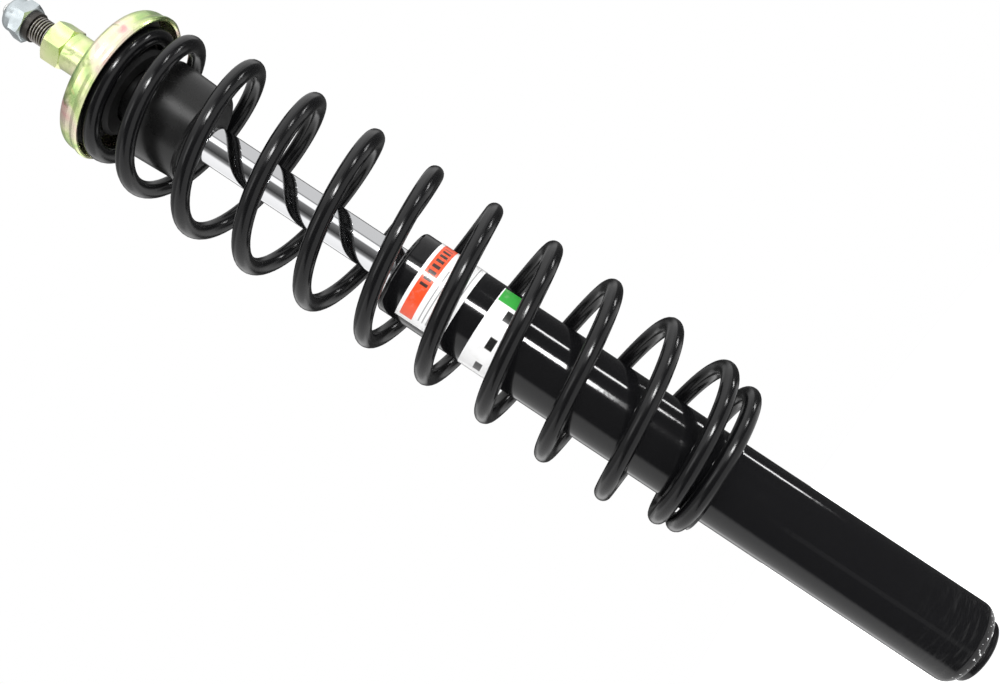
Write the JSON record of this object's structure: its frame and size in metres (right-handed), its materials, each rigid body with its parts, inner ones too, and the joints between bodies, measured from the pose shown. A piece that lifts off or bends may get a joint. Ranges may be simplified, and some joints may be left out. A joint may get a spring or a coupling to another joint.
{
  "type": "suspension strut assembly",
  "caption": "Coil-over suspension strut with a clampable damper tube, sliding chromed rod, leaning coil spring, dished upper cup, bump stop, and a threaded top with spacer and lock nut.",
  "frame": {"origin": "on the tube's axis, 40 mm above the end plug's face, at the middle of the stretch that the knuckle clamps", "axes": "+Z along the rod towards its threaded end; +X towards the side that the spring's lower end leans out to"},
  "size_m": [0.1001, 0.096, 0.576],
  "materials": {
    "tube_paint": "gloss black enamel",
    "spring_coat": "gloss black powder coat",
    "rod_chrome": "ground hard chrome",
    "yellow_zinc": "yellow dichromate zinc plate",
    "silver_zinc": "clear zinc plate",
    "dark_steel": "dark phosphate",
    "bare_steel": "bare, oiled",
    "gland_metal": "dark satin",
    "sintered_iron": "sintered, oiled",
    "black_rubber": "satin",
    "bump_urethane": "satin moulded foam skin",
    "can_plastic": "satin black",
    "bush_lining": "bonded lining",
    "nylon": "natural nylon",
    "label_film": "printed vinyl film",
    "decal_film": "printed vinyl film"
  },
  "bodies": {
    "tube": {"outer_tube": "tube_paint", "end_plug": "tube_paint", "pressure_tube": "bare_steel", "base_valve_body": "sintered_iron", "base_valve_disc": "bare_steel", "base_valve_rivet": "bare_steel", "rod_guide": "sintered_iron", "guide_bush": "bush_lining", "guide_o_ring": "black_rubber", "rod_seal": "black_rubber", "gland_cap": "gland_metal", "rod_wiper": "black_rubber", "lower_spring_seat": "tube_paint", "caution_label": "label_film", "side_decal": "decal_film", "coil_spring": "spring_coat"},
    "spring_top": {"upper_isolator": "black_rubber"},
    "rod": {"piston_rod": "rod_chrome", "piston": "sintered_iron", "piston_ring": "bush_lining", "rebound_shims": "bare_steel", "compression_shims": "bare_steel", "piston_nut": "bare_steel", "rebound_stop": "black_rubber", "rebound_clip": "bare_steel", "cup_washer": "bare_steel", "bump_can": "can_plastic", "bump_stop": "bump_urethane", "upper_spring_cup": "yellow_zinc", "spacer_sleeve": "yellow_zinc", "hex_spacer_nut": "yellow_zinc", "lock_collar": "dark_steel", "top_lock_nut": "silver_zinc", "nylon_insert": "nylon"}
  },
  "joints": [
    {"name": "rod_slide", "type": "slide", "parent": "tube", "child": "spring_top", "axis": [0, 0, -1], "range_m": [0, 0.112], "stiffness_N_per_m": 10200, "springref_m": -0.012, "deforming": ["coil_spring"]},
    {"name": "rod_swivel", "type": "hinge", "parent": "spring_top", "child": "rod", "pos_m": [0, 0, 0.47], "axis": [0, 0, 1], "range_deg": [-45, 45]}
  ]
}
